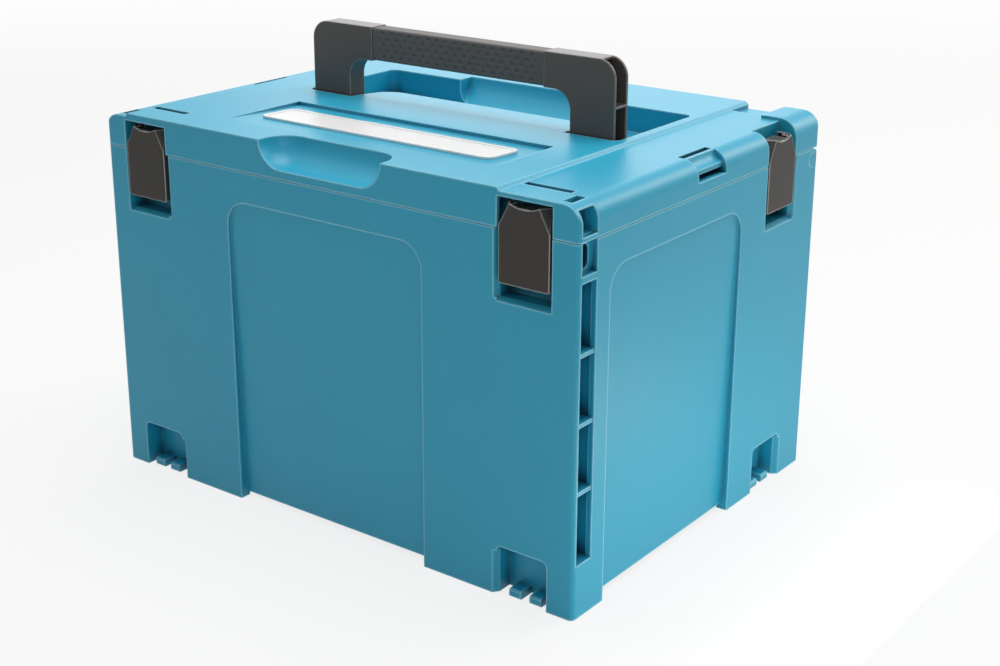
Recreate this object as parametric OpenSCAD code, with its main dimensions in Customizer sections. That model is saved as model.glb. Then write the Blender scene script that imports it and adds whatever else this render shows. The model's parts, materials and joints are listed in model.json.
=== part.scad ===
// Stackable hard tool case: moulded tub, hinged lid, folding handle and four two-part latches.
// Millimetres, +Z up. Origin: centre of the footprint, on the surface the case stands on.

/* [Body] */
// Overall width, left to right
body_w = 396; // [340:1:460]
// Overall depth, front to back
body_d = 296; // [260:1:360]
// Height of the closed case without the handle
body_h = 262.5; // [200:0.5:330]
// Height of the lid above the seam
lid_h = 24; // [23:0.5:32]
// Wall of the tub and the lid
wall = 3; // [2.4:0.1:3.6]
// Wall behind pockets and recesses
inner_wall = 2.5; // [2:0.1:3]
// Radius of the upright corners
corner_r = 3.5; // [2:0.5:6]
// Open seam between tub and lid
seam_gap = 0.5; // [0.3:0.1:0.8]
// Height of the tub's underside above its feet
foot_lift = 4; // [2:0.5:6]
// Width of the foot ring round the underside
foot_w = 8; // [6:0.5:12]

/* [Side panels] */
// Width of the sunk panel in the front and the back
front_panel_w = 165; // [120:1:180]
// Width of the sunk panel in the sides
side_panel_w = 156; // [120:1:170]
// Offset of the side panel towards the front
side_panel_y = -37; // [-45:1:-25]
// Distance of the panels' top edge below the seam
panel_drop = 21.5; // [15:0.5:40]
// Depth of a panel at its top edge
panel_top_depth = 1.5; // [1:0.1:3]
// Depth of a panel at its foot
panel_foot_depth = 5.5; // [3.5:0.1:7]
// Corner radius of the panels
panel_r = 17; // [8:1:25]

/* [Corner channels] */
// Width of the channel window in the side face
channel_w = 15.5; // [12:0.5:17]
// Distance of the window from the front face
channel_edge = 3; // [2.5:0.1:4]
// Thickness of the skin round the window
channel_skin = 4; // [3:0.5:5]
// Depth of the hollow behind the skin
channel_depth = 10; // [6:0.5:11]
// Height of the channel's foot
channel_foot = 36; // [28:1:60]
// Distance of the channel's top below the seam
channel_drop = 24.5; // [22:0.5:40]
// Pitch of the cross ribs
rib_pitch = 43.75; // [30:0.25:60]
// Height of the first rib
rib_first = 82.5; // [60:0.5:90]
// Thickness of the ribs
rib_t = 2.5; // [2:0.1:4]

/* [Lid] */
// Radius of the lid's long top edges at the sides
lid_edge_r = 12; // [8:0.5:14]
// Distance of the raised panel from the left face
panel_inset = 22; // [18:1:33]
// Height of the raised panel over the side strips
panel_rise = 2.2; // [1.4:0.1:3]
// Length of the finger scoop in the front edge
scoop_w = 103; // [80:1:130]
// Radius of the finger scoop
scoop_r = 18; // [12:0.5:18]
// Width of the nameplate field
badge_w = 220; // [180:1:230]
// Rear edge of the nameplate field
badge_rear = -48; // [-60:1:-40]
// Front edge of the nameplate field
badge_front = -118; // [-121:1:-110]
// Depth of the nameplate field at its rear edge
badge_depth = 2.6; // [1.5:0.1:3]
// Length of the nameplate
plate_w = 196; // [150:1:210]
// Width of the nameplate
plate_d = 34; // [24:1:44]
// Thickness of the nameplate
plate_t = 1.6; // [1.2:0.1:2.4]

/* [Handle] */
// Width over the handle's legs
handle_w = 260; // [230:1:264]
// Width of a leg
leg_w = 34.5; // [28:0.5:38]
// Thickness of the handle
handle_t = 15.5; // [13:0.5:15.5]
// Reach of the handle above its pivot
handle_reach = 60.5; // [54:0.5:64]
// Height of the handle's bar
bar_h = 24; // [20:0.5:28]
// Outer corner radius of the handle
handle_r = 13; // [8:0.5:15]
// Length of the soft grip
grip_w = 148; // [120:1:150]
// Wall of the soft grip
grip_wall = 1.8; // [1.4:0.1:2.4]
// Inset of the grip's faces behind the bar's
grip_inset = 0.5; // [0.3:0.1:0.8]
// Front-to-back place of the pivot
pivot_y = -2; // [-6:0.5:0]
// Clearance at the handle's sides
handle_gap = 2.5; // [1.5:0.1:4]
// Finger room behind the folded handle
handle_room = 25; // [15:1:26]
// Radius of the pivot pins
handle_pin_r = 3; // [2.5:0.1:3.5]

/* [Latches] */
// Distance of the front latches' centres from the side faces
latch_inset = 38.5; // [38:0.5:40]
// Distance of the side latches' centres from the rear face
latch_rear = 54; // [50:1:60]
// Width of a latch lever
lever_w = 36.4; // [32:0.2:38]
// Length of a lever below the seam
lever_below = 33.5; // [30:0.5:38]
// Length of a lever above the seam
lever_above = 16; // [14:0.5:17]
// Depth of a lever's side walls
lever_depth = 12; // [11:0.5:12]
// Wall of a lever
lever_wall = 2; // [1.6:0.1:2.4]
// Width of the lever's narrow top edge
lever_top_w = 21; // [18:0.5:26]
// Depth of the dip in the top edge
lever_dip = 2.4; // [1.5:0.1:3]
// Distance of the lever's pin below the seam
lever_pin_drop = 2.5; // [1:0.5:4]
// Distance of the link's pin below the seam
link_pin_drop = 25.5; // [24:0.5:27]
// Width of the link
link_w = 24; // [20:0.5:25]
// Radius of the latch pins
latch_pin_r = 1.75; // [1.5:0.05:2]
// Gap between a lever and its pocket at each side
pocket_gap = 1.6; // [1:0.1:2]
// Depth of the latch pockets
pocket_depth = 14.5; // [14:0.5:16]
// Finger space below a lever
finger_space = 9.5; // [8:0.5:14]

/* [Hinge] */
// Distance of the hinge axis in front of the rear face
hinge_in = 8; // [7:0.5:9]
// Radius of the hinge pins
hinge_pin_r = 2.5; // [2:0.1:3]
// Width of a lid knuckle
knuckle_w = 15; // [10:0.5:18]
// Distance of the knuckle's outer face from the side face
knuckle_edge = 18; // [14:0.5:20]
// Length of a hinge pin
hinge_pin_l = 47; // [44:0.5:52]

/* [Coupling] */
// Width of the coupling cut-outs in the foot of the case
foot_cut_w = 38; // [34:0.5:40]
// Height of the coupling cut-outs
foot_cut_h = 33.5; // [26:0.5:40]
// Width of the lugs in the cut-outs
lug_w = 8.8; // [7:0.1:10]
// Height of the lugs
lug_h = 5.5; // [4:0.5:10]
// Width of the sockets in the lid's sides
socket_w = 34.5; // [28:0.5:40]

/* [Hidden] */
$fn = 64;
e = 0.01;                     // cuts run past the faces they open
run_gap = 0.05;               // radial clearance of a pin in its bore
seat_gap = 0.05;              // clearance of fixed pieces
hook_gap = 0.3;               // clearance between lever and catch
half_w = body_w / 2;
half_d = body_d / 2;
seam_z = body_h - lid_h;
tub_top = seam_z - seam_gap;
panel_z = seam_z - panel_drop;
strip_z = body_h - panel_rise;
floor_z = foot_lift + wall;

// latches: place of the face's centre, turn about Z, hand
latch_x = half_w - latch_inset;
latch_y = half_d - latch_rear;
sites = [[-latch_x, -half_d, 0, -1], [latch_x, -half_d, 0, 1], [half_w, latch_y, 90, -1],
    [-half_w, latch_y, -90, 1]];
lever_z0 = seam_z - lever_below;
lever_z1 = seam_z + lever_above;
pocket_w = lever_w + 2 * pocket_gap;
pocket_z0 = lever_z0 - finger_space;
pocket_bar = 3;               // lid left over a front pocket
notch_d = 5;                  // notch in a front pocket's jamb
notch_r = 4;
link_pin_y = 8;               // pins behind the case's face
lever_pin_y = 6;
link_pin_z = seam_z - link_pin_drop;
lever_pin_z = seam_z - lever_pin_drop;
link_end_r = 3.8;
link_t = 4;
ear_t = 3.4;
ear_r = 4.4;
lever_front = -0.4;           // lever's face stands proud of the case
lever_skin = 2.2;
lever_bevel_d = 6;            // depth of the shoulders' bevels
lever_back_w = lever_w - 6.4; // top width of the body behind the face
nose_z = seam_z + 11;
nose_h = 3;
nose_w = 17;
catch_h = 5;

// raised panel of the lid: its right edge lines up with the front latch's pocket
panel_left = panel_inset - half_w;
panel_right = latch_x - pocket_w / 2 - 0.2;

lug_places = [-10.7, 4.8];    // inner lug is nearer the corner

// lip round the tub's mouth
lip_inset = 1.5;
lip_h = 3;
lip_gap = 0.4;                // clearance in the lid's groove
lip_room = 0.7;               // free height over the lip

// hinge
axis_y = half_d - hinge_in;
axis_z = seam_z - hinge_in - 0.3;
barrel_r = hinge_in - 1.8;
rail_d = 15;
knuckle_cut_z = axis_z - barrel_r - 1.2;
rail_z = knuckle_cut_z - inner_wall;
lip_end = half_d - 2 * rail_d;
knuckle_x1 = half_w - knuckle_edge;
knuckle_x0 = knuckle_x1 - knuckle_w;
knuckle_gap = 0.6;
pin_head_r = hinge_pin_r + 2.4;
pin_head_t = 1.4;

// handle
pivot_z = body_h - 9.3;
recess_w = handle_w + 2 * handle_gap + 3;
recess_front = pivot_y - handle_t / 2 - handle_gap;
recess_rear = pivot_y + handle_reach + handle_room;
recess_z = pivot_z - handle_t / 2 - 0.6;
tongue_w = handle_w - 2 * leg_w - 2 * handle_gap - 1;
tongue_rear = pivot_y + handle_reach - bar_h - handle_gap;
tongue_drop = 3.5;
tongue_front = pivot_y - 4;
finger_w = 136;               // hollow behind the recess
finger_d = 14;
trough_w = 208;               // trough along the recess's rear
trough_drop = 3.6;
trough_r = 27;
trough_z = recess_z - trough_drop + trough_r;
trough_y = recess_rear + finger_d - sqrt(pow(trough_r, 2) - pow(trough_z - body_h, 2));
leg_pin_l = leg_w + 2 * handle_gap + 4;
leg_wall = 1.8;
leg_rib = 1.6;

// rear corners of the lid
corner_w = 28;
corner_y = latch_y + pocket_w / 2;
strip_step = 3;
step_y = corner_y + 9;        // front edge of the stepped part of the strip
rear_bevel = 2.2;

// sockets in the lid's sides, from the side face inwards and from the strip down
slot_x0 = 16.5;
slot_x1 = 11.5;
slot_depth = 6;
shelf_r = 9;
shelf_x = 1;
shelf_z = 1.2;
notch_x = 3.5;
notch_z = 4;
gap_x = 12;
gap_z0 = 14;
gap_z1 = 10.4;

// grooves in the strip behind the front latches
groove_l = 34;
groove_w = 5.5;
groove_y = 21.5;
groove_depth = 1.8;

// hollow front corners of the lid
corner_floor = seam_z + 3;
corner_skin = 7;
corner_roof = 2.6;
window_x = 9;
window_roof = 3.4;
hole_rise = 5;

// corner channels
channel_y0 = -half_d + channel_edge;
channel_y1 = channel_y0 + channel_w;
channel_x0 = half_w - channel_skin - channel_depth;
channel_top = seam_z - channel_drop;
ribs = [for (z = [rib_first : rib_pitch : channel_top - rib_t * 3]) z];
post_y1 = channel_y1 + inner_wall * 2;

// box from its lowest corner to its highest
module box(a, b) { translate(a) cube(b - a); }

// round bar along X
module rod(x0, x1, y, z, r) { translate([x0, y, z]) rotate([0, 90, 0]) cylinder(r = r, h = x1 - x0); }

// rectangle w by d about the origin, round corners
module round_rect(w, d, r) {
    square([w - 2 * r, d], center = true);
    square([w, d - 2 * r], center = true);
    for (x = [-1, 1], y = [-1, 1]) translate([x * (w / 2 - r), y * (d / 2 - r)]) circle(r);
}

// outline w wide and h high standing on the X axis, round at the top only
module arch(w, h, r) {
    translate([-w / 2, 0]) square([w, h - r]);
    translate([r - w / 2, 0]) square([w - 2 * r, h]);
    for (x = [-1, 1]) translate([x * (w / 2 - r), h - r]) circle(r);
}

// upright prism of a plan outline
module upright(z0, z1) { translate([0, 0, z0]) linear_extrude(z1 - z0) children(); }

// prism of an XZ outline between two depths
module across(y0, y1) { translate([0, y1, 0]) rotate([90, 0, 0]) linear_extrude(y1 - y0) children(); }

// prism of a YZ outline between two widths
module along(x0, x1) {
    translate([x0, 0, 0]) rotate([90, 0, 90]) linear_extrude(x1 - x0) children();
}

// children once on each side of the middle plane
module both_sides() {
    children();
    mirror([1, 0, 0]) children();
}

// children at each latch: X along the face and away from its bevelled jamb, Y into the case
module each_latch() { for (s = sites) at_latch(s) children(); }

module at_latch(s) {
    translate([s[0], s[1], 0]) rotate([0, 0, s[2]]) mirror([s[3] < 0 ? 1 : 0, 0, 0]) children();
}

// ---- tub ----

// drafted panel sunk into a face: local X along the face, Y into the case
module sunk_panel(w) {
    intersection() {
        across(-1, panel_foot_depth + 1) arch(w, panel_z, panel_r);
        along(-w, w) polygon([[-1, -1], [panel_foot_depth, -1], [panel_foot_depth, 0],
            [panel_top_depth, panel_z], [panel_top_depth, panel_z + 1], [-1, panel_z + 1]]);
    }
}

module at_panels() {
    for (a = [0, 180]) rotate([0, 0, a]) translate([0, -half_d, 0]) children(0);
    both_sides() translate([half_w, side_panel_y, 0]) rotate([0, 0, 90]) children(1);
}

// pocket for a latch: straight walls, with a bevelled sill and one bevelled jamb
module latch_pocket(z0, z1) {
    along(-pocket_w / 2, pocket_w / 2)
        polygon([[-1, z0 - 2.2], [0, z0 - 2.2], [4, z0], [pocket_depth, z0], [pocket_depth, z1], [-1, z1]]);
    upright(z0, z1) polygon([[-pocket_w / 2 - 2.4, -e], [-pocket_w / 2 + e, 4], [-pocket_w / 2 + e, -e]]);
}

// cut-out in the foot that takes the latch of the case below
module foot_cut() {
    across(-1, pocket_depth) translate([0, -1]) arch(foot_cut_w, foot_cut_h + 1, 4);
    upright(-1, foot_cut_h - 4)
        polygon([[-foot_cut_w / 2 - 3, -e], [-foot_cut_w / 2 + e, 4], [-foot_cut_w / 2 + e, -e]]);
}

// walls that carry the cut-out's sides and back down to the stand face
module foot_walls() {
    difference() {
        box([-foot_cut_w / 2 - inner_wall, foot_w - 1, 0],
            [foot_cut_w / 2 + inner_wall, pocket_depth + inner_wall, foot_lift + 1]);
        box([-foot_cut_w / 2, -1, -1], [foot_cut_w / 2, pocket_depth, foot_lift + 2]);
    }
}

module foot_lugs() {
    for (x = lug_places)
        along(x, x + lug_w)
            polygon([[2.5, 0.8], [3.3, 0], [pocket_depth + 1, 0], [pocket_depth + 1, lug_h],
                [3.6, lug_h], [2.5, lug_h - 1]]);
}

// hollow between the feet
module underside() {
    upright(-1, foot_lift) round_rect(body_w - 2 * foot_w, body_d - 2 * foot_w, corner_r);
}

// ears that carry the link's pin
module latch_ears() {
    for (x = [-link_w / 2 - 0.4 - ear_t, link_w / 2 + 0.4]) {
        rod(x, x + ear_t, link_pin_y, link_pin_z, ear_r);
        box([x, link_pin_y, link_pin_z - ear_r], [x + ear_t, pocket_depth + e, link_pin_z + ear_r]);
    }
}

// ladder of hollow cells behind a window in the side face
module corner_channel() {
    edges = concat([channel_foot], ribs, [channel_top]);
    for (i = [0 : len(edges) - 2]) {
        z0 = edges[i] + (i == 0 ? 0 : rib_t / 2);
        z1 = edges[i + 1] - (i == len(edges) - 2 ? 0 : rib_t / 2);
        box([half_w - channel_skin - e, channel_y0, z0], [half_w + 1, channel_y1, z1]);
        box([channel_x0, channel_y0, z0], [half_w - channel_skin, channel_y1 + inner_wall, z1]);
    }
    box([half_w - 0.8, channel_y0, channel_foot], [half_w + 1, channel_y1, channel_top]);
    // shallow field above the ladder with its own round-ended window
    box([half_w - channel_skin, channel_y0, channel_top + 4.5], [half_w + 1, channel_y1, seam_z + 9]);
    box([channel_x0, channel_y0 + 4, channel_top + 11], [half_w, channel_y0 + 11, seam_z - 6]);
    for (z = [channel_top + 11, seam_z - 6])
        rod(channel_x0, half_w, channel_y0 + 7.5, z, 3.5);
}

// what the tub's hollow must leave standing
module tub_bosses() {
    at_panels() {
        box([-front_panel_w / 2 - wall, -1, 0], [front_panel_w / 2 + wall, panel_foot_depth + wall,
            panel_z + wall]);
        box([-side_panel_w / 2 - wall, -1, 0], [side_panel_w / 2 + wall, panel_foot_depth + wall,
            panel_z + wall]);
    }
    each_latch() {
        box([-pocket_w / 2 - inner_wall, -1, pocket_z0 - inner_wall],
            [pocket_w / 2 + inner_wall, pocket_depth + inner_wall, seam_z]);
        box([-foot_cut_w / 2 - inner_wall, -1, 0],
            [foot_cut_w / 2 + inner_wall, pocket_depth + inner_wall, foot_cut_h + inner_wall]);
    }
    both_sides() box([channel_x0 - inner_wall, -half_d, 0], [half_w, post_y1, seam_z]);
    box([-half_w, half_d - rail_d, rail_z], [half_w, half_d, seam_z]);
}

// upstanding lip that the lid drops over, open along the hinge
module seam_lip(near, far, z1, end) {
    difference() {
        upright(seam_z - 4, z1) round_rect(body_w - 2 * near, body_d - 2 * near, corner_r);
        upright(seam_z - 5, z1 + 1) round_rect(body_w - 2 * far, body_d - 2 * far, corner_r);
        box([-half_w, end, seam_z - 5], [half_w, half_d, z1 + 1]);
    }
}

module tub_hollow() {
    difference() {
        upright(floor_z, seam_z + 9)
            round_rect(body_w - 2 * wall, body_d - 2 * wall, corner_r);
        tub_bosses();
    }
}

// round edge along the hinge, so that the lid's rear edge clears it
module hinge_edge() {
    difference() {
        box([-half_w - 1, axis_y, axis_z], [half_w + 1, half_d + 1, seam_z + 1]);
        rod(-half_w - 2, half_w + 2, axis_y, axis_z, hinge_in - 0.3);
    }
}

module base_shell() {
    color("#2f7f98") difference() {
        union() {
            difference() {
                union() {
                    upright(0, tub_top) round_rect(body_w, body_d, corner_r);
                    seam_lip(lip_inset, wall, seam_z + lip_h, lip_end);
                }
                tub_hollow();
                underside();
                each_latch() { latch_pocket(pocket_z0, seam_z + 9); foot_cut(); }
            }
            each_latch() { latch_ears(); foot_walls(); foot_lugs(); }
        }
        at_panels() { sunk_panel(front_panel_w); sunk_panel(side_panel_w); }
        both_sides() {
            corner_channel();
            box([knuckle_x0 - knuckle_gap, half_d - rail_d - e, knuckle_cut_z],
                [knuckle_x1 + knuckle_gap, half_d + 1, seam_z + 9]);
            rod(half_w - hinge_pin_l - 1, half_w + 1, axis_y, axis_z, hinge_pin_r + run_gap);
            rod(half_w - pin_head_t - 0.3, half_w + 1, axis_y, axis_z, pin_head_r + 0.2);
        }
        hinge_edge();
        each_latch() rod(-lever_w, lever_w / 2, link_pin_y, link_pin_z, latch_pin_r + run_gap);
        // raised edges under the panels
        box([-front_panel_w / 2, -half_d - 1, -1], [front_panel_w / 2, half_d + 1, foot_lift]);
        box([-half_w - 1, side_panel_y - side_panel_w / 2, -1],
            [half_w + 1, side_panel_y + side_panel_w / 2, foot_lift]);
    }
}

// ---- lid ----

// cuts at the rear: the wide strip steps down, and the lower edge is bevelled
module lid_rear_cuts() {
    box([panel_right + panel_rise, step_y, strip_z - strip_step],
        [half_w - corner_w, half_d + 1, body_h + 9]);
    along(-half_w - 1, half_w + 1)
        polygon([[half_d + e, seam_z - e], [half_d + e, seam_z + rear_bevel], [half_d - rear_bevel, seam_z - e]]);
}

module lid_outline(inset) {
    arch(body_w - 2 * inset, strip_z - inset - seam_z, lid_edge_r - inset);
}

module lid_block() {
    bevel = panel_rise * 0.9;
    intersection() {
        union() {
            translate([0, 0, seam_z]) across(-half_d, half_d) lid_outline(0);
            across(-half_d, half_d)
                polygon([[panel_left - bevel, strip_z - 1], [panel_left - bevel, strip_z], [panel_left, body_h],
                    [panel_right, body_h], [panel_right + bevel, strip_z], [panel_right + bevel, strip_z - 1]]);
            // rear corners stand up over the hinge
            difference() {
                translate([0, 0, seam_z]) across(corner_y, half_d)
                    arch(body_w, lid_h, lid_edge_r + 1.5);
                box([-half_w + corner_w, -half_d, strip_z - 2], [half_w - corner_w, half_d + 1, body_h + 9]);
            }
        }
        upright(seam_z, body_h + 9) round_rect(body_w, body_d, corner_r);
    }
}

// long scoop in the front edge: round ends and a concave floor
module finger_scoop(r) {
    end = scoop_w / 2 - scoop_r;
    mid_y = -half_d + 5;
    for (x = [-end, end]) translate([x, mid_y, body_h]) sphere(r);
    rod(-end, end, mid_y, body_h, r);
    across(-half_d - 1, mid_y) {
        for (x = [-end, end]) translate([x, body_h]) circle(r);
        translate([-end, body_h - r]) square([2 * end, r + 1]);
    }
}

// recess that takes the folded handle
module handle_recess(grow) {
    leg_x0 = tongue_w / 2 - grow;
    difference() {
        upright(recess_z - grow, body_h + 9) translate([0, (recess_front + recess_rear) / 2])
            round_rect(recess_w + 2 * grow, recess_rear - recess_front + 2 * grow, 6);
        // tongue between the legs slopes down to the bar's channel
        intersection() {
            along(-leg_x0, leg_x0)
                polygon([[recess_front - 9, recess_z - 9], [tongue_rear - grow, recess_z - 9],
                    [tongue_rear - grow, body_h - tongue_drop - grow], [tongue_front, body_h - grow],
                    [tongue_front, body_h + 10], [recess_front - 9, body_h + 10]]);
            upright(recess_z - 9, body_h + 10) translate([0, recess_front - 9])
                arch(2 * leg_x0, tongue_rear - grow - recess_front + 9, handle_r - grow);
        }
    }
    // round trough under the bar, which runs on past the recess between its ends
    for (t = [[trough_w, recess_rear, 8], [finger_w, recess_rear + finger_d + 9, 14]])
        intersection() {
            rod(-t[0] / 2 - grow, t[0] / 2 + grow, trough_y, trough_z, trough_r + grow);
            across(recess_front, t[1] + grow) translate([0, body_h + 9]) mirror([0, 1])
                arch(t[0] + 2 * grow, body_h + 9 - trough_z + trough_r + grow, t[2] + grow);
        }
}

// wedge field for the nameplate, deepest at the rear
module badge_field() {
    along(-badge_w / 2, badge_w / 2)
        polygon([[badge_front, body_h], [badge_rear, body_h - badge_depth], [badge_rear, body_h + 1],
            [badge_front, body_h + 1]]);
}

// socket in a side: slot in the top, round shelf and slot below it
module side_socket() {
    s = socket_w / 2;
    translate([0, 0, strip_z]) {
        box([half_w - slot_x0, -s, -slot_depth], [half_w - slot_x1, s, shelf_r]);
        translate([half_w - shelf_x, s, shelf_z]) rotate([90, 0, 0]) cylinder(r = shelf_r, h = 2 * s);
        box([half_w - notch_x, -s, -gap_z1], [half_w + 1, s, -notch_z]);
        box([half_w - gap_x, -s, -gap_z0], [half_w + 1, s, -gap_z1]);
    }
}

// hollow front corner with a window in the side and a hole in the top
module lid_corner_cuts() {
    x0 = channel_x0 - 2;
    box([x0, channel_y0, corner_floor], [half_w - corner_skin, channel_y1, strip_z - corner_roof]);
    box([half_w - window_x, channel_y0, corner_floor], [half_w + 1, channel_y1, strip_z - window_roof]);
    box([x0, channel_y0 + 2, corner_floor + hole_rise],
        [half_w - window_x - 0.5, channel_y1 + 1, body_h + 9]);
}

module lid_pockets() {
    for (i = [0 : 3]) at_latch(sites[i]) {
        top = i < 2 ? strip_z - pocket_bar : body_h + 9;
        box([-pocket_w / 2, -1, seam_z - 1], [pocket_w / 2, pocket_depth, top]);
        // round-topped notch beside a front lever
        if (i < 2) {
            box([-pocket_w / 2 - notch_d, 2.5, seam_z - 1], [0, 2.5 + 2 * notch_r, seam_z + 14]);
            rod(-pocket_w / 2 - notch_d, 0, 2.5 + notch_r, seam_z + 14, notch_r);
        }
    }
    // grooves behind the front latches
    for (x = [-latch_x, latch_x])
        box([x - groove_l / 2, groove_y - half_d, strip_z - groove_depth],
            [x + groove_l / 2, groove_y + groove_w - half_d, body_h + 9]);
}

// what the lid's hollow must leave standing
module lid_bosses() {
    t = inner_wall;
    finger_scoop(scoop_r + t);
    handle_recess(t);
    box([-badge_w / 2 - t, badge_front, body_h - badge_depth - t], [badge_w / 2 + t, badge_rear + t, body_h]);
    each_latch() box([-pocket_w / 2 - notch_d - t, -1, seam_z - 1],
        [pocket_w / 2 + t, pocket_depth + t, body_h]);
    box([-half_w, half_d - rail_d, seam_z - 1], [half_w, half_d, seam_z + wall]);
    box([panel_right, step_y - t, strip_z - strip_step - t], [half_w - corner_w + t, half_d, body_h]);
    both_sides() {
        box([half_w - slot_x0 - t, -socket_w / 2 - t, strip_z - gap_z0 - t],
            [half_w, socket_w / 2 + t, body_h]);
        box([channel_x0 - 2 - t, -half_d, seam_z - 1], [half_w, channel_y1 + 1 + t, body_h]);
        box([knuckle_x0, half_d - rail_d, seam_z - 1], [knuckle_x1, half_d, body_h]);
        rod(tongue_w / 2 - t - 3, recess_w / 2 + t + 3, pivot_y, pivot_z, handle_pin_r + t);
    }
}

module lid_hollow() {
    difference() {
        union() {
            translate([0, 0, seam_z - 1]) across(-half_d + wall, half_d - wall)
                arch(body_w - 2 * wall, strip_z - wall - seam_z + 1, lid_edge_r - wall);
            box([panel_left + wall, -half_d + wall, seam_z], [panel_right - wall, half_d - wall, body_h - wall]);
        }
        lid_bosses();
    }
}

// arm that hangs from the lid and turns on the hinge pin
module lid_knuckle() {
    rod(knuckle_x0, knuckle_x1, axis_y, axis_z, barrel_r);
    box([knuckle_x0, axis_y - barrel_r + 0.8, axis_z], [knuckle_x1, axis_y + barrel_r - 0.8, seam_z + wall]);
}

// ledge that the lever's nose stands over
module catches() {
    each_latch()
        along(-nose_w / 2 - 1, nose_w / 2 + 1)
            polygon([[lever_depth + hook_gap, nose_z - 0.5], [lever_depth + hook_gap, nose_z - 2.5],
                [pocket_depth + e, nose_z - 0.5 - catch_h], [pocket_depth + e, nose_z - 0.5]]);
}

module lid_shell() {
    color("#3f9ab2") difference() {
        union() {
            difference() {
                lid_block();
                lid_hollow();
                lid_pockets();
                both_sides() { lid_corner_cuts(); side_socket(); }
                seam_lip(lip_inset - lip_gap, wall + lip_gap, seam_z + lip_h + lip_room, lip_end + lip_gap);
            }
            catches();
            both_sides() lid_knuckle();
        }
        finger_scoop(scoop_r);
        handle_recess(0);
        lid_rear_cuts();
        badge_field();
        both_sides() {
            rod(half_w - hinge_pin_l - 1, half_w + 1, axis_y, axis_z, hinge_pin_r + run_gap);
            rod(handle_w / 2 - leg_pin_l, handle_w / 2 + handle_gap + 4, pivot_y, pivot_z,
                handle_pin_r + run_gap);
        }
    }
}

// blank plate with a raised border, lying on the sloping field
module nameplate() {
    slope = atan(badge_depth / (badge_rear - badge_front));
    color("#f4f4f2") translate([0, badge_front, body_h + seat_gap]) rotate([-slope, 0, 0])
        translate([0, (badge_rear - badge_front) / 2, 0]) difference() {
            upright(0, plate_t) round_rect(plate_w, plate_d, plate_d / 5);
            upright(plate_t - 0.5, plate_t + 1) round_rect(plate_w - 6, plate_d - 6, plate_d / 5 - 3);
        }
}

// ---- handle ----

module handle_frame() {
    top = handle_reach;
    t = handle_t / 2;
    core = grip_wall + grip_inset;
    rib_z = top / 2 - 1;
    color("#3a3a3a") translate([0, pivot_y, pivot_z]) difference() {
        union() {
            difference() {
                across(-t, t) arch(handle_w, top, handle_r);
                // opening between the legs
                across(-t - 1, t + 1) translate([0, -1])
                    arch(handle_w - 2 * leg_w, top - bar_h + 1, handle_r);
                // square legs' ends give way to round ones
                box([-handle_w, -t - 1, -1], [handle_w, t + 1, 0]);
                // waist for the soft grip
                for (y = [-t - 1, t - core])
                    box([-grip_w / 2, y, top - bar_h - 1], [grip_w / 2, y + core + 1, top + 1]);
                for (z = [top - bar_h - 1, top - core])
                    box([-grip_w / 2, -t - 1, z], [grip_w / 2, t + 1, z + core + 1]);
            }
            both_sides() rod(handle_w / 2 - leg_w, handle_w / 2, 0, 0, t);
        }
        both_sides() {
            rod(handle_w / 2 - leg_w - 1, handle_w / 2 + 1, 0, 0, handle_pin_r + run_gap);
            // legs are open to the outside and round the corner, with one rib
            for (z = [[handle_pin_r + 2.5, rib_z - leg_rib / 2], [rib_z + leg_rib / 2, top - leg_wall]])
                box([handle_w / 2 - leg_w + 9, leg_wall - t, z[0]], [handle_w / 2 + 1, t - leg_wall, z[1]]);
            box([handle_w / 2 - handle_r + 2, leg_wall - t, top - handle_r],
                [handle_w / 2 + 1, t - leg_wall, top + 1]);
        }
    }
}

module handle_grip() {
    t = handle_t / 2 - grip_inset;
    w = grip_w / 2 - 0.3;
    z0 = handle_reach - bar_h + grip_inset;
    z1 = handle_reach - grip_inset;
    core = grip_wall - seat_gap;
    color("#444444") translate([0, pivot_y, pivot_z]) difference() {
        along(-w, w) translate([0, (z0 + z1) / 2]) round_rect(2 * t, z1 - z0, 1.2);
        box([-w - 1, core - t, z0 + core], [w + 1, t - core, z1 - core]);
    }
}

module handle_pin() {
    rod(handle_w / 2 - leg_pin_l + 3, handle_w / 2 + handle_gap + 3, pivot_y, pivot_z, handle_pin_r);
}

module handle_pin_left() { color("#8a8d90") mirror([1, 0, 0]) handle_pin(); }
module handle_pin_right() { color("#8a8d90") handle_pin(); }

// ---- hinge pins ----

module hinge_pin() {
    rod(half_w - hinge_pin_l, half_w - 0.3, axis_y, axis_z, hinge_pin_r);
    rod(half_w - 0.3 - pin_head_t, half_w - 0.3, axis_y, axis_z, pin_head_r);
}

module hinge_pin_left() { color("#2f7f98") mirror([1, 0, 0]) hinge_pin(); }
module hinge_pin_right() { color("#2f7f98") hinge_pin(); }

// ---- latches ----

// outline of a lever: straight sides, shoulders that taper to the given width
module lever_outline(inset, top_w) {
    w = lever_w / 2 - inset;
    t = top_w / 2 - inset;
    polygon([[-w, lever_z0 + 1], [-w + 1, lever_z0], [w - 1, lever_z0], [w, lever_z0 + 1], [w, seam_z + 1.5],
        [t, lever_z1], [-t, lever_z1], [-w, seam_z + 1.5]]);
}

module lever_hollow(top_w) {
    intersection() {
        union() {
            lever_outline(lever_wall, top_w);
            translate([lever_wall - lever_top_w / 2, seam_z])
                square([lever_top_w - 2 * lever_wall, lever_above + 1]);
        }
        translate([-lever_w, lever_z0 + lever_wall]) square([2 * lever_w, lever_below + lever_above]);
    }
}

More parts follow.
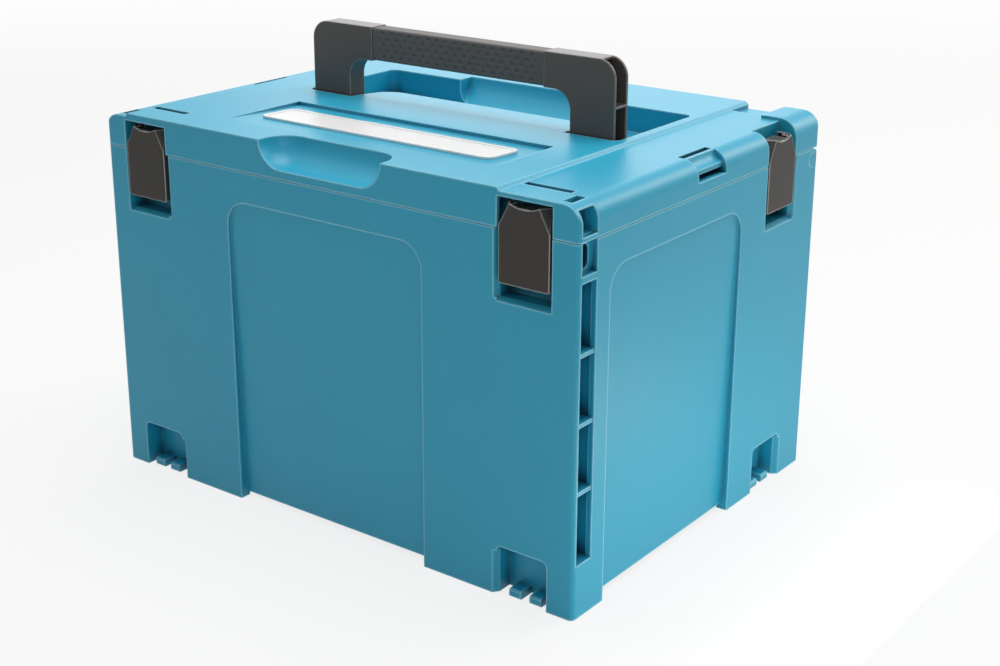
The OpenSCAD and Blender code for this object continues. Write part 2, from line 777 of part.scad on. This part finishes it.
module latch_lever(i) {
    dip_r = (pow(lever_top_w / 2, 2) + pow(lever_dip, 2)) / (2 * lever_dip);
    color("#4a4948") at_latch(sites[i]) difference() {
        union() {
            difference() {
                union() {
                    // the shoulders' bevels slope back from the face to the wider body
                    hull() {
                        across(lever_front, lever_front + 0.2) lever_outline(0, lever_top_w);
                        across(lever_bevel_d - 0.2, lever_bevel_d) lever_outline(0, lever_back_w);
                    }
                    across(lever_bevel_d - 0.1, lever_depth) lever_outline(0, lever_back_w);
                }
                // hollow, open at the back and the top
                across(lever_front + lever_skin, lever_bevel_d) lever_hollow(lever_top_w);
                across(lever_bevel_d - 0.1, lever_depth + 1) lever_hollow(lever_back_w);
                across(lever_front - 1, lever_depth + 1) translate([0, lever_z1 - lever_dip + dip_r])
                    circle(dip_r, $fn = 128);
            }
            // nose that holds the lid's ledge down
            box([-nose_w / 2, lever_front + 1, nose_z], [nose_w / 2, lever_depth, nose_z + nose_h]);
            for (x = [-nose_w / 2, nose_w / 2 - 1.6])
                box([x, lever_front + 1, nose_z - 4], [x + 1.6, lever_depth - 3, nose_z + e]);
        }
        rod(-lever_w, lever_w, lever_pin_y, lever_pin_z, latch_pin_r + run_gap);
    }
}

module latch_link(i) {
    lean = atan2(link_pin_y - lever_pin_y, lever_pin_z - link_pin_z);
    reach = norm([link_pin_y - lever_pin_y, lever_pin_z - link_pin_z]);
    w = link_w / 2;
    color("#2f2f2f") at_latch(sites[i]) translate([0, link_pin_y, link_pin_z]) rotate([lean, 0, 0])
        difference() {
            union() {
                for (z = [0, reach]) rod(-w, w, 0, z, link_end_r);
                box([-w, -link_t / 2, 0], [w, link_t / 2, reach]);
            }
            for (z = [0, reach]) rod(-w - 1, w + 1, 0, z, latch_pin_r + run_gap);
            // window that lightens the link
            box([6 - w, -link_t, link_end_r + 3], [w - 6, link_t, reach - link_end_r - 3]);
        }
}

module link_pin(i) {
    w = link_w / 2 + 0.4 + ear_t;
    color("#8a8d90") at_latch(sites[i]) rod(-w, w, link_pin_y, link_pin_z, latch_pin_r);
}

module lever_pin(i) {
    color("#8a8d90") at_latch(sites[i])
        rod(0.2 - lever_w / 2, lever_w / 2 - 0.2, lever_pin_y, lever_pin_z, latch_pin_r);
}

base_shell();
lid_shell();
nameplate();
handle_frame();
handle_grip();
handle_pin_left();
handle_pin_right();
hinge_pin_left();
hinge_pin_right();
latch_lever(0);  // latch_lever_front_left
latch_lever(1);  // latch_lever_front_right
latch_lever(2);  // latch_lever_side_right
latch_lever(3);  // latch_lever_side_left
latch_link(0);  // latch_link_front_left
latch_link(1);  // latch_link_front_right
latch_link(2);  // latch_link_side_right
latch_link(3);  // latch_link_side_left
link_pin(0);  // link_pin_front_left
link_pin(1);  // link_pin_front_right
link_pin(2);  // link_pin_side_right
link_pin(3);  // link_pin_side_left
lever_pin(0);  // lever_pin_front_left
lever_pin(1);  // lever_pin_front_right
lever_pin(2);  // lever_pin_side_right
lever_pin(3);  // lever_pin_side_left
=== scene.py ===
import json
import math

import bmesh
import bpy
from mathutils import Matrix, Vector


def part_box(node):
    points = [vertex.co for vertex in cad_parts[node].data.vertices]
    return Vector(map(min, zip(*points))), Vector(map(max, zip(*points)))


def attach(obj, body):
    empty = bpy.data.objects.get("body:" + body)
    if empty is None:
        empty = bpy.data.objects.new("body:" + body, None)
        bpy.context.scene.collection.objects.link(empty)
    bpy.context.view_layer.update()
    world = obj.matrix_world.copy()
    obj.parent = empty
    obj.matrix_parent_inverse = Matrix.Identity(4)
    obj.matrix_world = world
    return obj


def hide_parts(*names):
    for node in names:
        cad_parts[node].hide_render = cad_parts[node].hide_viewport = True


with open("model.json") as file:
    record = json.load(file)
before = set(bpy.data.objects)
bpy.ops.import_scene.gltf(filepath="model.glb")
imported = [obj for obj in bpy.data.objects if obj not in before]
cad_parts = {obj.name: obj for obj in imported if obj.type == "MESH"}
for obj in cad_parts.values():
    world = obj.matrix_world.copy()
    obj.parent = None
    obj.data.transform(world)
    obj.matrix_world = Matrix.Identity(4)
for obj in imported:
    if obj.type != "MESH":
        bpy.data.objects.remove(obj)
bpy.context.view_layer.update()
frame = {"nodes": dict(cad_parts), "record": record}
nodes = frame["nodes"]
scene = bpy.context.scene
mm = 0.001
print("frame loaded:", len(nodes), "nodes")


# sRGB hex value to linear, by the standard's own curve
def linear(hexCode):
    channels = [int(hexCode[i:i + 2], 16) / 255 for i in (1, 3, 5)]
    curved = [c / 12.92 if c <= 0.04045 else ((c + 0.055) / 1.055) ** 2.4 for c in channels]
    return tuple(curved) + (1.0,)


# inputs take a value, or another node's output to link
def addNode(tree, kind, settings=None, inputs=None):
    node = tree.nodes.new(kind)
    for name, value in (settings or {}).items():
        setattr(node, name, value)
    for name, value in (inputs or {}).items():
        if isinstance(value, bpy.types.NodeSocket):
            tree.links.new(value, node.inputs[name])
        else:
            node.inputs[name].default_value = value
    return node


def newMaterial(name):
    material = bpy.data.materials.new(name)
    material.use_nodes = True
    material.node_tree.nodes.clear()
    return material, material.node_tree


# camera: front right, a little above the lid
camera = {
    "place": (681.5, -871.4, 506.4),  # mm, in the case's own frame
    "turn": 36.69,                    # degrees from +Y towards -X
    "tilt": 18.48,                    # degrees down
    "roll": 0.26,                     # degrees
    "shift": -0.05,                   # share of the sensor's width
    "lens": 58.65,                    # mm
    "sensor": 36.0,                   # mm
    "near": 10.0,                     # mm, nearest thing drawn
}


def placeCamera(c):
    data = bpy.data.cameras.new("camera")
    data.sensor_width = c["sensor"]
    data.lens = c["lens"]
    data.shift_y = c["shift"]
    data.clip_start = c["near"] * mm
    obj = bpy.data.objects.new("camera", data)
    scene.collection.objects.link(obj)
    obj.location = Vector(c["place"]) * mm
    turn, tilt = math.radians(c["turn"]), math.radians(c["tilt"])
    aim = Matrix.Rotation(turn, 4, "Z") @ Matrix.Rotation(math.pi / 2 - tilt, 4, "X")
    obj.rotation_euler = (aim @ Matrix.Rotation(math.radians(c["roll"]), 4, "Z")).to_euler()
    scene.camera = obj


placeCamera(camera)
print("camera placed")


# how edges and hollows are found, for the lighter edges (wear and painted sheen) and the painted
# shade in hollows, the same for every moulding
edgeLook = {
    "samples": 6,
    "flat": 0.995, "bent": 0.90,   # cosine between the rounded and the plain normal
    "openSpan": 0.22,              # above a material's own "open", to where wear and painted sheen are full
    "hollow": 0.58, "fullPaintedShade": 0.32,  # share of open air, where the painted shade of a hollow starts and where it is darkest
    "scuffed": 0.75,               # roughness of a worn edge: it has lost its gloss
    "uneven": 0.04,                # roughness, up and down with the grain
}


# rounded normal for the eye, with two masks: outer edges, lighter as wear and painted sheen, and
# hollows, darker as painted shade
def softEdge(tree, p, e):
    rounded = addNode(tree, "ShaderNodeBevel", {"samples": e["samples"]},
                      {"Radius": p["edge"] * mm})
    plain = addNode(tree, "ShaderNodeNewGeometry")
    match = addNode(tree, "ShaderNodeVectorMath", {"operation": "DOT_PRODUCT"},
                    {0: rounded.outputs["Normal"], 1: plain.outputs["Normal"]})
    bend = addNode(tree, "ShaderNodeMapRange", None,
                   {"Value": match.outputs["Value"], "From Min": e["flat"],
                    "From Max": e["bent"], "To Min": 0.0, "To Max": p["wearAndSheen"]})
    around = addNode(tree, "ShaderNodeAmbientOcclusion",
                     {"samples": e["samples"], "only_local": True},
                     {"Distance": p["reach"] * mm})
    outer = addNode(tree, "ShaderNodeMapRange", None,
                    {"Value": around.outputs["AO"], "From Min": p["open"],
                     "From Max": p["open"] + e["openSpan"]})
    # outer edges get the lighter colour: partly wear, partly painted sheen
    wornAndSheen = addNode(tree, "ShaderNodeMath", {"operation": "MULTIPLY"},
                   {0: bend.outputs["Result"], 1: outer.outputs["Result"]})
    # painted shade: the less open air around a point, the more of the dark colour it gets
    hollow = addNode(tree, "ShaderNodeMapRange", None,
                     {"Value": around.outputs["AO"], "From Min": e["hollow"],
                      "From Max": e["fullPaintedShade"]})
    # half the bend only, so that no edge turns away from the eye and mirrors the surround
    between = addNode(tree, "ShaderNodeVectorMath", {"operation": "ADD"},
                      {0: rounded.outputs["Normal"], 1: plain.outputs["Normal"]})
    normal = addNode(tree, "ShaderNodeVectorMath", {"operation": "NORMALIZE"},
                     {0: between.outputs[0]})
    return normal.outputs[0], wornAndSheen.outputs[0], hollow.outputs["Result"]


# any moulded plastic: flow marks, grain and sink marks over one colour, with its edges lighter as
# wear and painted sheen, and painted shade in its hollows
def mouldedPlastic(name, p):
    material, tree = newMaterial(name)
    place = addNode(tree, "ShaderNodeTexCoord").outputs["Object"]
    flow = addNode(tree, "ShaderNodeTexNoise", None,
                   {"Vector": place, "Scale": 1 / (p["flow"] * mm), "Detail": 3.0,
                    "Roughness": 0.55})
    grain = addNode(tree, "ShaderNodeTexNoise", None,
                    {"Vector": place, "Scale": 1 / (p["grainDrawn"] * mm), "Detail": 2.0,
                     "Roughness": 0.6})
    swell = addNode(tree, "ShaderNodeTexNoise", None,
                    {"Vector": place, "Scale": 1 / (p["swell"] * mm), "Detail": 1.0})
    rounded, wornAndSheen, hollow = softEdge(tree, p, edgeLook)
    tint = addNode(tree, "ShaderNodeMix", {"data_type": "RGBA"},
                   {"Factor": flow.outputs["Fac"], "A": linear(p["colour"]),
                    "B": linear(p["shade"])})
    # painted shade in the hollows
    depth = addNode(tree, "ShaderNodeMix", {"data_type": "RGBA"},
                    {"Factor": hollow, "A": tint.outputs["Result"], "B": linear(p["fullPaintedShade"])})
    # lighter edges: partly wear, partly painted sheen
    colour = addNode(tree, "ShaderNodeMix", {"data_type": "RGBA"},
                     {"Factor": wornAndSheen, "A": depth.outputs["Result"], "B": linear(p["wornAndSheen"])})
    even = addNode(tree, "ShaderNodeMapRange", None,
                   {"Value": grain.outputs["Fac"],
                    "To Min": p["roughness"] - edgeLook["uneven"],
                    "To Max": p["roughness"] + edgeLook["uneven"]})
    rough = addNode(tree, "ShaderNodeMix", {"data_type": "FLOAT"},
                    {"Factor": wornAndSheen, "A": even.outputs["Result"], "B": edgeLook["scuffed"]})
    waves = addNode(tree, "ShaderNodeBump", None,
                    {"Strength": 1.0, "Distance": p["swellDepth"] * mm,
                     "Height": swell.outputs["Fac"], "Normal": rounded})
    bump = addNode(tree, "ShaderNodeBump", None,
                   {"Strength": 1.0, "Distance": p["grainDepth"] * mm,
                    "Height": grain.outputs["Fac"], "Normal": waves.outputs["Normal"]})
    shader = addNode(tree, "ShaderNodeBsdfPrincipled", None,
                     {"Base Color": colour.outputs["Result"],
                      "Roughness": rough.outputs["Result"],
                      "IOR": p["ior"], "Specular IOR Level": p["specular"],
                      "Normal": bump.outputs["Normal"]})
    addNode(tree, "ShaderNodeOutputMaterial", None, {"Surface": shader.outputs[0]})
    return material


# in every finish below, the third colour is painted shade in hollows, and the fourth is the
# lighter colour of edges, partly wear and partly painted sheen
# moulded ABS, spark-eroded mould: satin teal with a fine even grain
mouldedAbs = {
    "colour": "#21A7C8", "shade": "#1FA1C2", "fullPaintedShade": "#00354F", "wornAndSheen": "#B4F0FF",
    "roughness": 0.42, "ior": 1.54,
    "specular": 0.45,    # the grain hides a little of the gloss
    "flow": 70.0,        # mm, faint flow marks of the melt
    "grainDrawn": 1.3,   # mm; the real grain is 0.2 mm and would not show
    "grainDepth": 0.012, # mm
    "swell": 45.0,       # mm, sink behind the ribs
    "swellDepth": 0.06,  # mm
    "edge": 1.9,         # mm, drawn rounding of an edge
    "wearAndSheen": 0.7,         # share of the lighter edge colour on it, partly wear and partly painted sheen
    "open": 0.54,        # share of open air where wear and painted sheen start
    "reach": 15.0,       # mm, how far a wall casts painted shade into a hollow
}
# moulded polypropylene: dark warm grey, slightly glossier than the tub
mouldedPp = {
    "colour": "#57504C", "shade": "#504A46", "fullPaintedShade": "#1D1B1B", "wornAndSheen": "#C0BCB8",
    "roughness": 0.36, "ior": 1.49, "specular": 0.4,
    "flow": 30.0, "grainDrawn": 1.2, "grainDepth": 0.012,
    "swell": 25.0, "swellDepth": 0.04,
    "edge": 1.3, "wearAndSheen": 0.75, "open": 0.60, "reach": 10.0,
}
# glass-filled nylon: dark grey, fibres break the gloss a little
filledNylon = {
    # the near-white edge colour, at nearly full share, is a painted highlight on the lever rims,
    # with some wear
    "colour": "#494745", "shade": "#454341", "fullPaintedShade": "#131313", "wornAndSheen": "#EAE7E3",
    "roughness": 0.38, "ior": 1.53, "specular": 0.12,
    "flow": 12.0, "grainDrawn": 0.9, "grainDepth": 0.014,
    "swell": 18.0, "swellDepth": 0.02,
    "edge": 1.2, "wearAndSheen": 0.95, "open": 0.30, "reach": 5.0,
}
# moulded acetal: near black, smooth and low in friction
mouldedAcetal = {
    "colour": "#323232", "shade": "#2E2E2E", "fullPaintedShade": "#161616", "wornAndSheen": "#565656",
    "roughness": 0.30, "ior": 1.48, "specular": 0.5,
    "flow": 20.0, "grainDrawn": 1.0, "grainDepth": 0.005,
    "swell": 15.0, "swellDepth": 0.01,
    "edge": 0.5, "wearAndSheen": 0.3, "open": 0.6, "reach": 4.0,
}
# thermoplastic elastomer, overmoulded: dull and soft to the eye
mouldedTpe = {
    "colour": "#5A5755", "shade": "#53504E", "fullPaintedShade": "#1F1D1D", "wornAndSheen": "#898684",
    "roughness": 0.55, "ior": 1.50, "specular": 0.4,
    "flow": 30.0, "grainDrawn": 0.9, "grainDepth": 0.016,
    "swell": 20.0, "swellDepth": 0.02,
    "edge": 0.4, "wearAndSheen": 0.3, "open": 0.66, "reach": 1.6,
}
# ABS from a polished mould, dulled by handling: clean white with a soft highlight
polishedAbs = {
    "colour": "#EDEEED", "shade": "#E8E9E8", "fullPaintedShade": "#D9DAD9", "wornAndSheen": "#F6F6F6",
    "roughness": 0.42, "ior": 1.54, "specular": 0.15,
    "flow": 60.0, "grainDrawn": 1.5, "grainDepth": 0.002,
    "swell": 30.0, "swellDepth": 0.02,
    "edge": 0.4, "wearAndSheen": 0.2, "open": 0.66, "reach": 2.0,
}


# drawn steel wire: bright, with a fine uneven grain left by the die
wire = {
    "colour": "#B9BBBD",
    "grain": 0.5,                      # mm
    "smoothest": 0.24, "roughest": 0.36,
    "bump": 0.6, "depth": 0.01,        # mm
}


def drawnSteel(name, p):
    material, tree = newMaterial(name)
    place = addNode(tree, "ShaderNodeTexCoord").outputs["Object"]
    grain = addNode(tree, "ShaderNodeTexNoise", None,
                    {"Vector": place, "Scale": 1 / (p["grain"] * mm), "Detail": 3.0,
                     "Roughness": 0.7})
    rough = addNode(tree, "ShaderNodeMapRange", None,
                    {"Value": grain.outputs["Fac"], "To Min": p["smoothest"],
                     "To Max": p["roughest"]})
    bump = addNode(tree, "ShaderNodeBump", None,
                   {"Strength": p["bump"], "Distance": p["depth"] * mm,
                    "Height": grain.outputs["Fac"]})
    shader = addNode(tree, "ShaderNodeBsdfPrincipled", None,
                     {"Base Color": linear(p["colour"]), "Metallic": 1.0,
                      "Roughness": rough.outputs["Result"], "Normal": bump.outputs["Normal"]})
    addNode(tree, "ShaderNodeOutputMaterial", None, {"Surface": shader.outputs[0]})
    return material


finishes = {
    "tub_plastic": mouldedPlastic("moulded ABS, tub", mouldedAbs),
    "lid_plastic": mouldedPlastic("moulded ABS, lid", mouldedAbs),
    "plate_plastic": mouldedPlastic("polished ABS, nameplate", polishedAbs),
    "handle_plastic": mouldedPlastic("moulded polypropylene, handle", mouldedPp),
    "grip_rubber": mouldedPlastic("moulded elastomer, grip", mouldedTpe),
    "latch_plastic": mouldedPlastic("glass-filled nylon, latches", filledNylon),
    "link_plastic": mouldedPlastic("moulded acetal, links", mouldedAcetal),
    "pin_steel": drawnSteel("drawn steel, pins", wire),
}
slots = {row["node"]: row["material_slot"] for row in frame["record"]["subparts"]}
for name, obj in nodes.items():
    obj.data.materials.clear()
    obj.data.materials.append(finishes[slots[name]])
print("materials made:", len(finishes))


# broken edges of the smaller pieces; the tub and the lid have theirs in the shader
brokenEdges = {
    "radius": {"plate_plastic": 0.2, "handle_plastic": 0.3, "latch_plastic": 0.2,
               "link_plastic": 0.3, "pin_steel": 0.2},  # mm
    "segments": 2,
    "sharp": 30.0,     # degrees between two faces, from where an edge is broken
    "merge": 0.002,    # mm, corners closer than this are one
}


# node group that joins the faces and takes off the stored normals, so that the bevel sets its own
def plainNormals(e):
    tree = bpy.data.node_groups.new("plain normals", "GeometryNodeTree")
    tree.interface.new_socket("Geometry", in_out="INPUT", socket_type="NodeSocketGeometry")
    tree.interface.new_socket("Geometry", in_out="OUTPUT", socket_type="NodeSocketGeometry")
    start = addNode(tree, "NodeGroupInput")
    joined = addNode(tree, "GeometryNodeMergeByDistance", None,
                     {"Geometry": start.outputs[0], "Distance": e["merge"] * mm})
    plain = addNode(tree, "GeometryNodeSetMeshNormal", {"mode": "SHARPNESS"},
                    {"Mesh": joined.outputs[0]})
    smooth = addNode(tree, "GeometryNodeSetShadeSmooth", None, {"Geometry": plain.outputs[0]})
    addNode(tree, "NodeGroupOutput", None, {0: smooth.outputs[0]})
    return tree


def breakEdges(obj, radius, group, e):
    obj.modifiers.new("plain normals", "NODES").node_group = group
    bevel = obj.modifiers.new("broken edges", "BEVEL")
    bevel.width = radius * mm
    bevel.segments = e["segments"]
    bevel.limit_method = "ANGLE"
    bevel.angle_limit = math.radians(e["sharp"])
    bevel.use_clamp_overlap = False
    bevel.loop_slide = False
    obj.modifiers.new("even normals", "WEIGHTED_NORMAL")


normalsGroup = plainNormals(brokenEdges)
for name, obj in nodes.items():
    radius = brokenEdges["radius"].get(slots[name])
    if radius:
        breakEdges(obj, radius, normalsGroup, brokenEdges)
print("edges broken")


# grip: soft sleeve with rows of small slanted dimples; lengths in mm
grip = {
    "corner": 1.6,        # rounding of the sleeve's long edges
    "arcSteps": 4,        # mesh steps in one such rounding
    "pitch": 8.0,         # along a row of dimples
    "rowPitch": 4.2,
    "rows": 5,
    "margin": 6.0,        # plain ends
    "length": 3.0,        # one dimple
    "width": 2.5,
    "slant": 35.0,        # degrees
    "depth": 0.8,
    "step": 0.4,          # grid of the mesh
    "flat": 0.99,         # how straight a face looks along Y, to carry dimples
}


# outline of the sleeve's section: points with their outward normals, in the YZ plane
def sleeveSection(halfT, halfH, g):
    r = g["corner"]
    corners = [(halfT - r, halfH - r, 0), (r - halfT, halfH - r, 90),
               (r - halfT, r - halfH, 180), (halfT - r, r - halfH, 270)]
    points = []
    for i, (cy, cz, start) in enumerate(corners):
        for k in range(g["arcSteps"] + 1):
            a = math.radians(start + k * 90 / g["arcSteps"])
            normal = (math.cos(a), math.sin(a))
            points.append(((cy + r * normal[0], cz + r * normal[1]), normal))
        # the flat side, from the end of this rounding to the start of the next
        nextY, nextZ, _ = corners[(i + 1) % 4]
        y, z = points[-1][0]
        endY, endZ = nextY + r * normal[0], nextZ + r * normal[1]
        count = max(1, round(math.dist((y, z), (endY, endZ)) / g["step"]))
        for k in range(1, count):
            t = k / count
            points.append(((y + t * (endY - y), z + t * (endZ - z)), normal))
    return points


# how deep the sleeve is sunk at a place on a flat side
def dimpleDepth(x, z, halfW, g):
    if abs(x) > halfW - g["margin"]:
        return 0.0
    slant = math.radians(g["slant"])
    deepest = 0.0
    for row in range(g["rows"]):
        rowZ = (row - (g["rows"] - 1) / 2) * g["rowPitch"]
        if abs(z - rowZ) > g["rowPitch"]:
            continue
        offset = (row % 2) * g["pitch"] / 2
        cell = round((x - offset) / g["pitch"])
        dx, dz = x - offset - cell * g["pitch"], z - rowZ
        u = dx * math.cos(slant) + dz * math.sin(slant)
        v = dz * math.cos(slant) - dx * math.sin(slant)
        q = (2 * u / g["length"]) ** 2 + (2 * v / g["width"]) ** 2
        if q < 1:
            deepest = max(deepest, g["depth"] * (1 - q) ** 0.5)
    return deepest


def makeGrip(g):
    low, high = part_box("handle_grip")
    low, high = Vector(low) / mm, Vector(high) / mm
    middle = (low + high) / 2
    halfW, halfT, halfH = (high - low) / 2
    section = sleeveSection(halfT, halfH, g)
    columns = round(2 * halfW / g["step"])
    mesh = bmesh.new()
    rings = []
    for i in range(columns + 1):
        x = -halfW + 2 * halfW * i / columns
        ring = []
        for (y, z), (ny, nz) in section:
            sunk = dimpleDepth(x, z, halfW, g) if abs(ny) > g["flat"] else 0.0
            place = Vector((middle.x + x, middle.y + y - ny * sunk, middle.z + z - nz * sunk))
            ring.append(mesh.verts.new(place * mm))
        rings.append(ring)
    for a, b in zip(rings, rings[1:]):
        for k in range(len(section)):
            n = (k + 1) % len(section)
            mesh.faces.new((a[k], a[n], b[n], b[k]))
    mesh.faces.new(rings[0][::-1])
    mesh.faces.new(rings[-1])
    bmesh.ops.recalc_face_normals(mesh, faces=mesh.faces)
    for face in mesh.faces:
        face.smooth = len(face.verts) == 4  # all but the two ends
    data = bpy.data.meshes.new("dimpled_grip")
    mesh.to_mesh(data)
    mesh.free()
    obj = bpy.data.objects.new("dimpled_grip", data)
    scene.collection.objects.link(obj)
    data.materials.append(finishes["grip_rubber"])
    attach(obj, "handle")
    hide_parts("handle_grip")


makeGrip(grip)
print("grip made")


# floor and white surround
studio = {
    "floorColour": "#F2F2F2",
    "floorHalf": 6.0,        # m
    "floorCells": 8,
    "floorDrop": 0.1,        # mm below the feet
    "floorWhite": 0.8,       # share of plain white that the camera sees in the floor by the case
    "fadeFrom": 0.9,         # m from the case, where the floor starts to go over into the surround
    "fadeTo": 2.8,           # m from the case, where it has
    "white": (1, 1, 1, 1),
    "ambient": 0.12,         # strength of the surround on the case
}
# places and sizes in m
lamps = [
    {"name": "top", "place": (0.1, 0.2, 1.9), "aim": (0, 0, 0.2), "size": (1.6, 1.6),
     "watts": 28.0},
    {"name": "back", "place": (-1.3, 1.9, 0.9), "aim": (0, 0, 0.2), "size": (1.2, 1.2),
     "watts": 6.0},
    {"name": "rim", "place": (0.95, 1.85, 1.25), "aim": (0, 0, 0.2), "size": (0.8, 0.8),
     "watts": 13.5, "colour": "#FFFAF0"},
    {"name": "front", "place": (0.75, -0.95, 0.6), "aim": (0.15, -0.1, 0.15), "size": (0.5, 0.5),
     "watts": 1.5},
    # small key, mirrored by the rounded edges that run along the front
    {"name": "key", "place": (-0.95, -0.75, 1.6), "aim": (0, 0, 0.25), "size": (0.5, 0.5),
     "watts": 1.8},
    # low strip that brightens the right side towards the floor
    {"name": "strip", "place": (0.36, -0.03, 0.03), "aim": (0.2, -0.03, 0.04),
     "size": (0.36, 0.03), "watts": 0.17, "colour": "#FFFAF0"},
]


# 1 for the rays that should meet plain white: seen directly, in a gloss or through glass
def seenWhite(tree):
    ray = addNode(tree, "ShaderNodeLightPath")
    either = addNode(tree, "ShaderNodeMath", {"operation": "MAXIMUM"},
                     {0: ray.outputs["Is Camera Ray"], 1: ray.outputs["Is Glossy Ray"]})
    anyRay = addNode(tree, "ShaderNodeMath", {"operation": "MAXIMUM"},
                     {0: either.outputs[0], 1: ray.outputs["Is Transmission Ray"]})
    return anyRay.outputs[0]


def makeSurround(s):
    world = bpy.data.worlds.new("white surround")
    scene.world = world
    world.use_nodes = True
    tree = world.node_tree
    tree.nodes.clear()
    soft = addNode(tree, "ShaderNodeBackground", None,
                   {"Color": s["white"], "Strength": s["ambient"]})
    white = addNode(tree, "ShaderNodeBackground", None, {"Color": s["white"], "Strength": 1.0})
    mix = addNode(tree, "ShaderNodeMixShader", None,
                  {0: seenWhite(tree), 1: soft.outputs[0], 2: white.outputs[0]})
    addNode(tree, "ShaderNodeOutputWorld", None, {"Surface": mix.outputs[0]})


def makeFloor(s):
    mesh = bmesh.new()
    bmesh.ops.create_grid(mesh, x_segments=s["floorCells"], y_segments=s["floorCells"],
                          size=s["floorHalf"])
    data = bpy.data.meshes.new("floor")
    mesh.to_mesh(data)
    mesh.free()
    obj = bpy.data.objects.new("floor", data)
    scene.collection.objects.link(obj)
    obj.location.z = -s["floorDrop"] * mm
    material, tree = newMaterial("matt white paper, floor")
    paper = addNode(tree, "ShaderNodeBsdfDiffuse", None, {"Color": linear(s["floorColour"])})
    white = addNode(tree, "ShaderNodeEmission", None, {"Color": s["white"], "Strength": 1.0})
    place = addNode(tree, "ShaderNodeTexCoord").outputs["Object"]
    away = addNode(tree, "ShaderNodeVectorMath", {"operation": "LENGTH"}, {0: place})
    fade = addNode(tree, "ShaderNodeMapRange", {"interpolation_type": "SMOOTHSTEP"},
                   {"Value": away.outputs["Value"], "From Min": s["fadeFrom"],
                    "From Max": s["fadeTo"], "To Min": s["floorWhite"], "To Max": 1.0})
    share = addNode(tree, "ShaderNodeMath", {"operation": "MULTIPLY"},
                    {0: seenWhite(tree), 1: fade.outputs["Result"]})
    mix = addNode(tree, "ShaderNodeMixShader", None,
                  {0: share.outputs[0], 1: paper.outputs[0], 2: white.outputs[0]})
    addNode(tree, "ShaderNodeOutputMaterial", None, {"Surface": mix.outputs[0]})
    data.materials.append(material)


def placeLamp(c):
    data = bpy.data.lights.new(c["name"], "AREA")
    data.shape = "RECTANGLE"
    data.size, data.size_y = c["size"]
    data.energy = c["watts"]
    data.color = linear(c.get("colour", "#FFFFFF"))[:3]
    obj = bpy.data.objects.new(c["name"] + "_lamp", data)
    scene.collection.objects.link(obj)
    obj.visible_camera = False
    obj.location = c["place"]
    towards = Vector(c["aim"]) - Vector(c["place"])
    obj.rotation_euler = towards.to_track_quat("-Z", "Y").to_euler()


makeSurround(studio)
makeFloor(studio)
for lamp in lamps:
    placeLamp(lamp)
scene.view_settings.view_transform = "Standard"
print("studio set")
